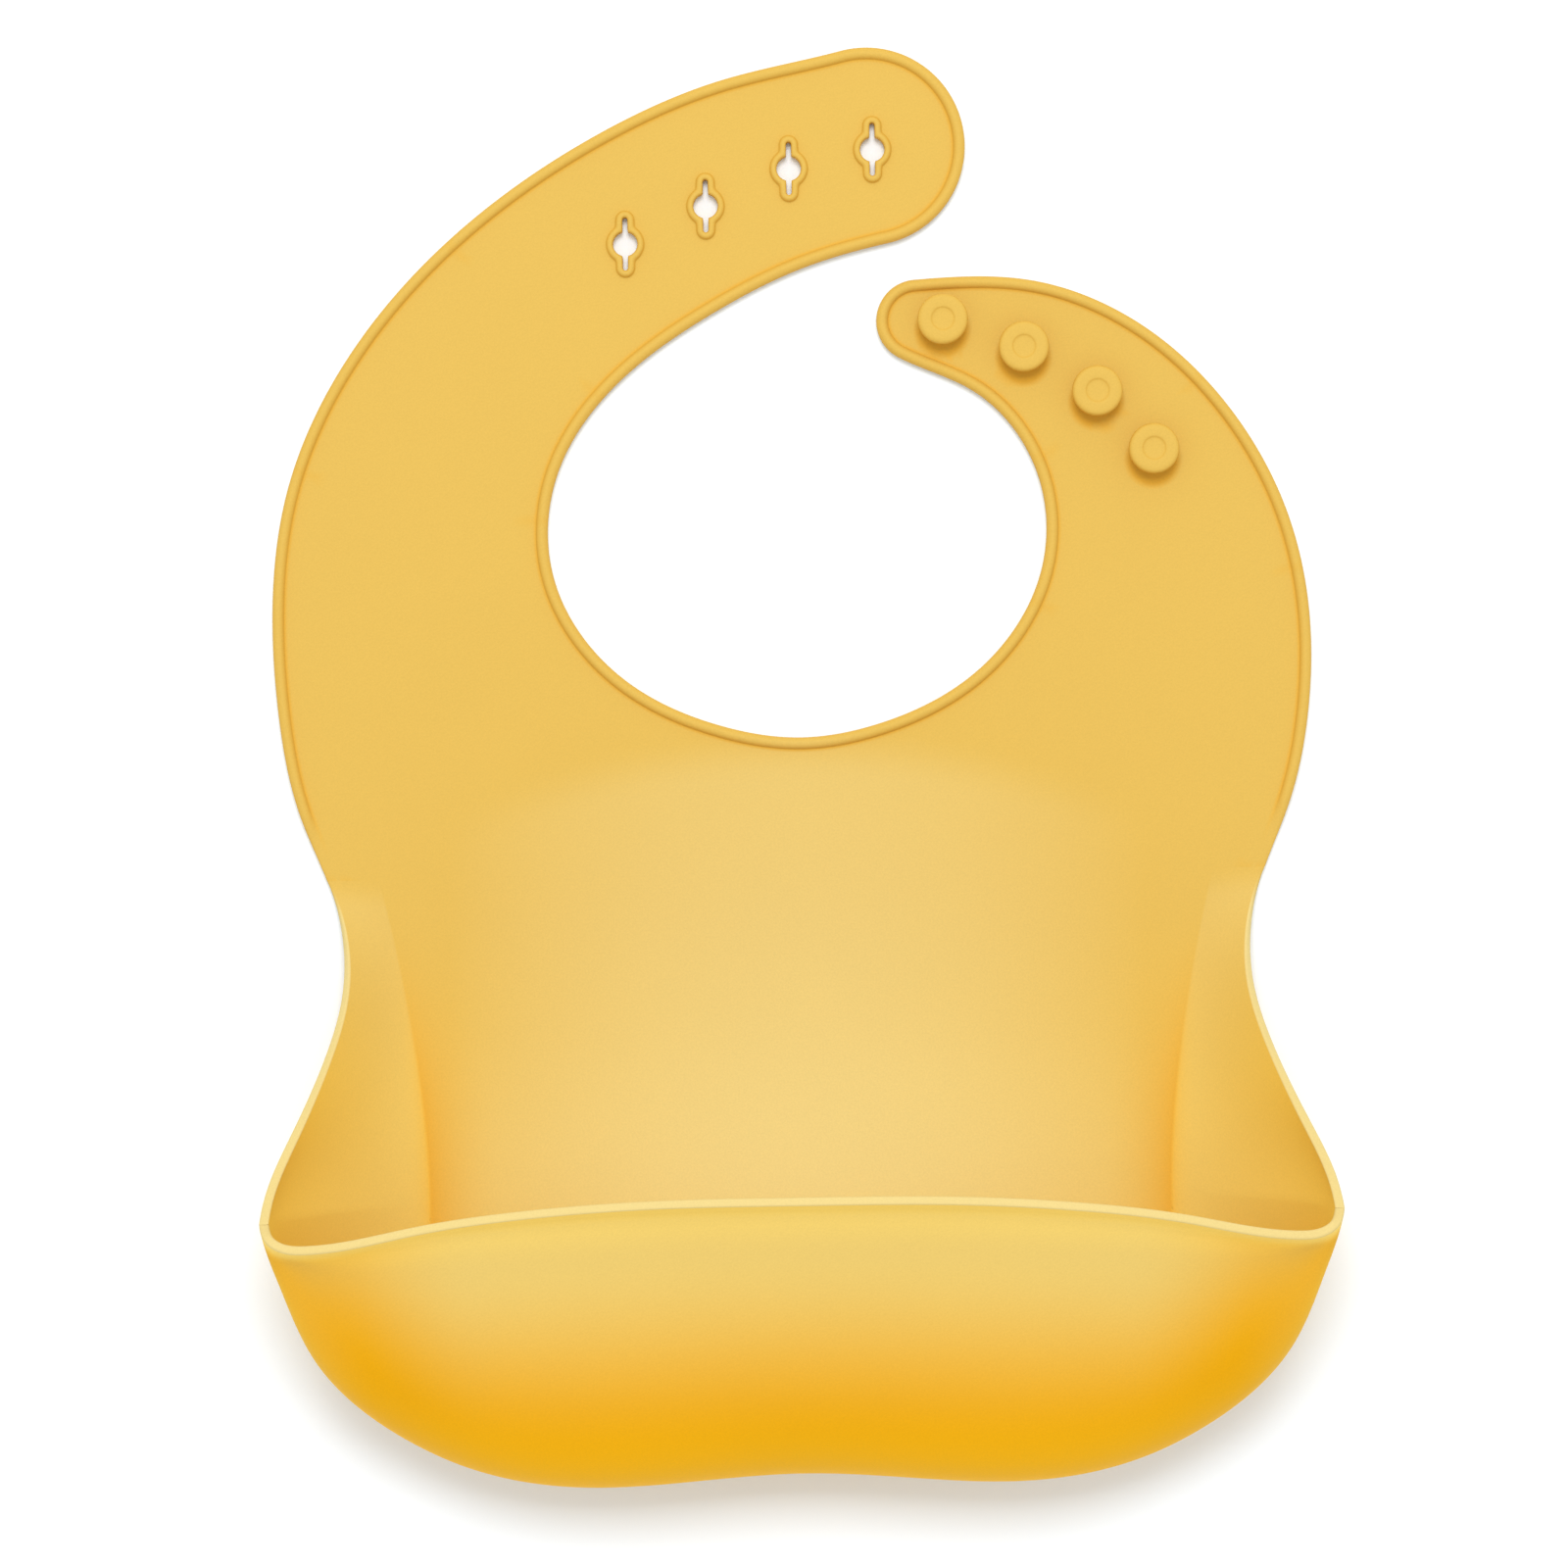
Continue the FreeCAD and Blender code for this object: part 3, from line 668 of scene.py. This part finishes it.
def pocket_shape():
    """The chest panel below the seam, with the whole pocket, as one closed shape."""
    side, bottom, front = pocket_half()
    parts = [(np.array([r for r, _ in rows]), np.array([h for _, h in rows]))
             for rows in (side, bottom, front)]
    normals = surface_normals([g for g, _ in parts])
    normals[SIDE_WALL][0] = (0, 0, 1)       # level at the seam and along the crease
    normals[SIDE_WALL][:, 0] = (0, 0, 1)
    normals[BOTTOM_TURN][:, 0] = (0, 0, 1)
    shape = Shape()
    foot_top, foot_bottom = {1: [], -1: []}, {1: [], -1: []}
    for mirror in (1, -1):
        flip = np.array((mirror, 1, 1))
        for number, ((grid, headings), normal) in enumerate(zip(parts, normals)):
            crowding = 1.0 if number == SIDE_WALL else FRONT_CROWDING
            shares = np.linspace(0, 1, len(grid)) ** crowding
            tones = [wall_tones(number, t, row) for t, row in zip(shares, grid)]
            below = above = [([], [])] * len(grid)
            if number != FRONT_WALL:
                below = [floor_strip(row, row[-1], 0.0) for row in grid]
                above = [floor_strip(row, row[-1], SHEET) for row in grid]
            outer = [shape.add([p * flip for p in low[0]] + list(row * flip),
                               [UNSET] * len(low[0]) + tone[0])
                     for row, tone, low in zip(grid, tones, below)]
            inner = [shape.add([p * flip for p in high[0]] + list((row + n * WALL) * flip),
                               high[1] + tone[1])
                     for row, n, tone, high in zip(grid, normal, tones, above)]
            shape.grid(outer)
            shape.grid(inner)
            if number != BOTTOM_TURN:
                # painted light: the rounded rim is painted paler, fading in from the seam on the
                # side walls
                painted_light = [smooth(t / 0.15) if number == SIDE_WALL else 1.0 for t in shares]
                columns = [np.array(rim_column(row[-1], heading, n[-1])) * flip
                           for row, heading, n in zip(grid, headings, normal)]
                rims = [shape.add(column, [(p, 0.0, 0.0)] * len(column))
                        for column, p in zip(columns, painted_light)]
                shape.grid([[o[-1]] + r + [i[-1]] for o, r, i in zip(outer, rims, inner)])
            if number == SIDE_WALL:
                shape.between(outer[0], inner[0])
                shape.faces.append([outer[0][-1]] + rims[0] + [inner[0][-1]])
            if number != FRONT_WALL:
                own = slice(None) if number == SIDE_WALL else slice(1, None)
                foot_top[mirror] += [row[0] for row in inner][own]
                foot_bottom[mirror] += [row[0] for row in outer][own]
    tops = foot_top[1] + foot_top[-1][-2::-1]
    bottoms = foot_bottom[1] + foot_bottom[-1][-2::-1]
    above, below = add_seam(shape, (tops[-1], bottoms[-1]), (tops[0], bottoms[0]))
    fill(shape, (tops + above, bottoms + below), [])
    return shape


# ---- studs -------------------------------------------------------------------------------

# From the middle of the foot, out over the flange, up the stem and round the cap to the
# dimple: radius and height.
STUD_PROFILE = ((0.0, 1.7), (3.5, 1.7), (3.5, 2.0), (3.0, 2.12), (2.68, 2.4), (2.52, 2.9),
                (2.5, 3.6), (2.5, 4.7), (2.6, 5.2), (2.95, 5.5), (3.5, 5.6), (4.6, 5.6),
                (4.95, 5.68), (5.2, 5.92), (5.33, 6.3), (5.35, 6.7), (5.33, 7.2), (5.22, 7.65),
                (4.98, 7.98), (4.6, 8.15), (4.1, 8.2), (3.4, 8.2), (2.8, 8.19), (2.55, 8.14),
                (2.42, 8.02), (2.3, 7.9), (2.05, 7.83), (1.5, 7.8), (0.8, 7.8), (0.0, 7.8))


STUD_FACETS = 72


def stud_shape(centre):
    shape = Shape()
    turns = [2 * math.pi * k / STUD_FACETS for k in range(STUD_FACETS)]
    rows = [shape.add([(centre[0] + r * math.cos(a), centre[1] + r * math.sin(a), z)
                       for a in turns]) for r, z in STUD_PROFILE]
    for a, b in zip(rows, rows[1:]):
        shape.between(a, b, closed=True)
    return shape


# ---- colour of the silicone, with its painted light and shade ----------------------------

EXPOSURE = 1.25          # how much brighter than its base colour a level surface shows
PLAIN_COLOUR = (237, 195, 92)
# colours of the painted light and the painted shade, and the gain of the painted brightness
PAINTED_LIGHT_COLOUR = (246, 220, 143)
PAINTED_SHADE_COLOUR = (246, 174, 0)
PAINTED_BRIGHTNESS_GAIN = (1.19, 1.31, 1.34, 1)
SHEET_TOP = 2.05         # everything above this height is bead, keyhole rim or stud


def flat_tone(x, y, z, up):
    """Painted light, painted shade and painted brightness on the flat parts.

    Painted highlight in a soft arch over the chest and towards the lip, painted shade on steep
    edges, painted shadow beside the studs, and painted brightness towards the pocket.
    """
    if z < 1.0:
        return 0.0, 0.0, 0.0
    # painted highlight: a soft arch over the chest, and paler towards the lip
    arch_y = 2.0 - 19.0 * (x / 80.0) ** 2
    arch = smooth((arch_y - y) / 12.0 + 0.5)
    painted_light = 0.7 * arch * (0.6 + 0.4 * smooth(-y / 70.0)) * max(0.0, 1 - (x / 74.0) ** 2)
    painted_light = min(1.0, painted_light + 0.3 * smooth((-y - 50.0) / 45.0))
    # painted shadow beside each stud, shifted towards -Y
    painted_stud_shadow = 0.0
    if z < SHEET_TOP:
        near = min(math.dist((x, y + SHADE_SHIFT), stud) for stud in STUDS)
        painted_stud_shadow = smooth((6.3 - near) / 1.4)
    # steep faces get painted shade, and the pocket side gets painted brightness
    return painted_light, max(0.5 * (1 - abs(up)), 0.6 * painted_stud_shadow), 0.4 * smooth((-y - 25.0) / 70.0)


def node(tree, kind, place, **settings):
    """Adds a node, with some of its settings."""
    made = tree.nodes.new(kind)
    made.location = place
    for key, value in settings.items():
        setattr(made, key, value)
    return made


def surface_colour(red, green, blue):
    """The base colour that shows as a display colour, from 0 to 255, in this light."""
    channels = [c / 255 for c in (red, green, blue)]
    light = [c / 12.92 if c < 0.04045 else ((c + 0.055) / 1.055) ** 2.4 for c in channels]
    return [c / EXPOSURE for c in light] + [1]


def silicone():
    """Satin silicone. Its colour follows the painted light, painted shade and painted brightness
    shares stored in the mesh.
    """
    made = bpy.data.materials.new("silicone")
    made.use_nodes = True
    tree = made.node_tree
    tree.nodes.clear()
    link = tree.links.new
    out = node(tree, "ShaderNodeOutputMaterial", (900, 0))
    shader = node(tree, "ShaderNodeBsdfPrincipled", (600, 0))
    shader.inputs["Roughness"].default_value = 0.6
    shader.inputs["Specular IOR Level"].default_value = 0.10
    link(shader.outputs["BSDF"], out.inputs["Surface"])
    rest = node(tree, "ShaderNodeAttribute", (-900, 0), attribute_name="rest_place")
    # painted light, painted shade and painted brightness, stored in the mesh
    painted_light = node(tree, "ShaderNodeAttribute", (-900, 250), attribute_name="painted_light")
    painted_shade = node(tree, "ShaderNodeAttribute", (-900, 500), attribute_name="painted_shade")
    painted_brightness = node(tree, "ShaderNodeAttribute", (-900, -500), attribute_name="painted_brightness")
    # mixes the plain colour towards the painted light colour, then towards the painted shade
    # colour
    first = node(tree, "ShaderNodeMix", (-500, 200), data_type="RGBA")
    first.inputs["A"].default_value = surface_colour(*PLAIN_COLOUR)
    first.inputs["B"].default_value = surface_colour(*PAINTED_LIGHT_COLOUR)
    link(painted_light.outputs["Fac"], first.inputs["Factor"])
    second = node(tree, "ShaderNodeMix", (-250, 200), data_type="RGBA")
    second.inputs["B"].default_value = surface_colour(*PAINTED_SHADE_COLOUR)
    link(first.outputs["Result"], second.inputs["A"])
    link(painted_shade.outputs["Fac"], second.inputs["Factor"])
    cloud = node(tree, "ShaderNodeTexNoise", (-600, -100))
    cloud.inputs["Scale"].default_value = 38.0
    cloud.inputs["Detail"].default_value = 3.0
    link(rest.outputs["Vector"], cloud.inputs["Vector"])
    grain = node(tree, "ShaderNodeTexNoise", (-600, -350))
    grain.inputs["Scale"].default_value = 2600.0
    grain.inputs["Detail"].default_value = 2.0
    link(rest.outputs["Vector"], grain.inputs["Vector"])
    cloud_range = node(tree, "ShaderNodeMapRange", (-400, -100))
    cloud_range.inputs["To Min"].default_value = 0.985
    cloud_range.inputs["To Max"].default_value = 1.015
    link(cloud.outputs["Fac"], cloud_range.inputs["Value"])
    grain_range = node(tree, "ShaderNodeMapRange", (-400, -350))
    grain_range.inputs["From Min"].default_value = 0.3
    grain_range.inputs["From Max"].default_value = 0.7
    grain_range.inputs["To Min"].default_value = 0.97
    grain_range.inputs["To Max"].default_value = 1.03
    link(grain.outputs["Fac"], grain_range.inputs["Value"])
    both = node(tree, "ShaderNodeMath", (-200, -200), operation="MULTIPLY")
    link(cloud_range.outputs["Result"], both.inputs[0])
    link(grain_range.outputs["Result"], both.inputs[1])
    # scales the colour up by the painted brightness
    gain = node(tree, "ShaderNodeMix", (-250, -500), data_type="RGBA", clamp_factor=False)
    gain.inputs["A"].default_value = (1, 1, 1, 1)
    gain.inputs["B"].default_value = PAINTED_BRIGHTNESS_GAIN
    link(painted_brightness.outputs["Fac"], gain.inputs["Factor"])
    gained = node(tree, "ShaderNodeVectorMath", (-50, 300), operation="MULTIPLY")
    link(second.outputs["Result"], gained.inputs[0])
    link(gain.outputs["Result"], gained.inputs[1])
    tinted = node(tree, "ShaderNodeVectorMath", (50, 150), operation="SCALE")
    link(gained.outputs["Vector"], tinted.inputs["Vector"])
    link(both.outputs["Value"], tinted.inputs["Scale"])
    link(tinted.outputs["Vector"], shader.inputs["Base Color"])
    bump = node(tree, "ShaderNodeBump", (350, -250))
    bump.inputs["Strength"].default_value = 0.12
    bump.inputs["Distance"].default_value = 0.0001
    link(grain.outputs["Fac"], bump.inputs["Height"])
    link(bump.outputs["Normal"], shader.inputs["Normal"])
    return made


material = silicone()


def make_piece(name, shape, replaced):
    """Turns a shape into a smooth mesh in metres, with its painted light and shade shares at each
    vertex.

    The silicone's noise follows the place at rest, so that it stays put when a piece bends.
    """
    places, faces, tones = shape.merged()
    mesh = bpy.data.meshes.new(name)
    mesh.from_pydata([tuple(p * MM) for p in places], [], faces)
    mesh.validate()
    b = bmesh.new()
    b.from_mesh(mesh)
    bmesh.ops.recalc_face_normals(b, faces=b.faces)
    b.to_mesh(mesh)
    b.free()
    mesh.polygons.foreach_set("use_smooth", [True] * len(mesh.polygons))
    mesh.set_sharp_from_angle(angle=math.radians(55))
    looks = []
    for v, tone in zip(mesh.vertices, tones):
        looks.append(flat_tone(*(v.co / MM), v.normal.z) if tone[0] < 0 else tone)
    # stores the painted light, painted shade and painted brightness at each vertex
    for k, kind in enumerate(("painted_light", "painted_shade", "painted_brightness")):
        made = mesh.attributes.new(kind, "FLOAT", "POINT")
        made.data.foreach_set("value", [float(look[k]) for look in looks])
    rest = mesh.attributes.new("rest_place", "FLOAT_VECTOR", "POINT")
    rest.data.foreach_set("vector", [c for v in mesh.vertices for c in v.co])
    mesh.materials.append(material)
    piece = bpy.data.objects.new(name, mesh)
    bpy.context.scene.collection.objects.link(piece)
    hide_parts(*replaced)
    return piece


def bend(piece):
    """Bakes a strap's piece into place; it is not bent here."""
    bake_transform(piece)


a_out, a_in = (nearest(p) for p in SEAM_A)
b_out, b_in = (nearest(p) for p in SEAM_B)
c_out, c_in = (nearest(p) for p in SEAM_C)
d_out, d_in = (nearest(p) for p in SEAM_D)
last = len(outline) - 1

pocket = make_piece("bib_pocket", pocket_shape(),
                    [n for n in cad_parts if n.startswith(("pocket_", "chest_"))])
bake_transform(pocket)

collar = make_piece("bib_collar", flat_shape(((0, a_out), (a_in, b_in), (b_out, last))),
                    ("collar_sheet", "collar_bead"))
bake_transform(collar)

hole_base = make_piece("keyhole_strap_base", flat_shape(((a_out, c_out), (c_in, a_in))),
                       ("hole_strap_root_sheet", "hole_strap_root_bead"))
bend(hole_base)

hole_tip = make_piece("keyhole_strap_tip", flat_shape(((c_out, c_in),), KEYHOLES),
                      ["hole_strap_end_sheet", "hole_strap_end_bead"]
                      + [f"keyhole_{k}" for k in (1, 2, 3, 4)])
bend(hole_tip)

stud_base = make_piece("stud_strap_base", flat_shape(((b_in, d_in), (d_out, b_out))),
                       ("stud_strap_root_sheet", "stud_strap_root_bead"))
bend(stud_base)

stud_tip = make_piece("stud_strap_tip", flat_shape(((d_in, d_out),)),
                      ("stud_strap_end_sheet", "stud_strap_end_bead"))
bend(stud_tip)

for number, centre in enumerate(STUDS, 1):
    stud = make_piece(f"press_stud_{number}", stud_shape(centre), (f"stud_{number}",))
    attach(stud, "stud_strap_end" if number < 3 else "stud_strap")


# ---- floor, light and camera, in metres --------------------------------------------------

def floor():
    """A plain pale floor, a hair below the bib, tinted against the warm light from it."""
    mesh = bpy.data.meshes.new("floor")
    reach, drop = 3.0, -0.0002
    mesh.from_pydata([(-reach, -reach, drop), (reach, -reach, drop),
                      (reach, reach, drop), (-reach, reach, drop)], [], [(0, 1, 2, 3)])
    white = bpy.data.materials.new("floor_white")
    white.use_nodes = True
    shader = white.node_tree.nodes["Principled BSDF"]
    shader.inputs["Base Color"].default_value = (0.87, 0.935, 1.0, 1)
    shader.inputs["Emission Color"].default_value = (1, 1, 1, 1)
    shader.inputs["Emission Strength"].default_value = 0.045
    shader.inputs["Roughness"].default_value = 0.9
    shader.inputs["Specular IOR Level"].default_value = 0.0
    mesh.materials.append(white)
    made = bpy.data.objects.new("floor", mesh)
    bpy.context.scene.collection.objects.link(made)


floor()
scene = bpy.context.scene
scene.view_settings.view_transform = "Standard"
world = bpy.data.worlds.new("studio")
world.use_nodes = True
world.node_tree.nodes["Background"].inputs["Color"].default_value = (1, 1, 1, 1)
world.node_tree.nodes["Background"].inputs["Strength"].default_value = 0.765
scene.world = world


def area_light(name, place, aim, size, power):
    """Adds a square lamp that faces a point."""
    data = bpy.data.lights.new(name, "AREA")
    data.shape = "SQUARE"
    data.size = size
    data.energy = power
    lamp = bpy.data.objects.new(name, data)
    lamp.location = place
    lamp.rotation_euler = (Vector(aim) - Vector(place)).to_track_quat("-Z", "Y").to_euler()
    scene.collection.objects.link(lamp)


area_light("key_light", (0.0, 0.68, 1.85), (0, -0.02, 0), 0.7, 21.0)

camera_data = bpy.data.cameras.new("camera")
camera_data.lens = 129.4
camera_data.sensor_width = 36.0
camera = bpy.data.objects.new("camera", camera_data)
camera.location = (-0.00225, -0.00485, 1.2)
camera.rotation_euler = (0, 0, math.radians(-0.9))
scene.collection.objects.link(camera)
scene.camera = camera
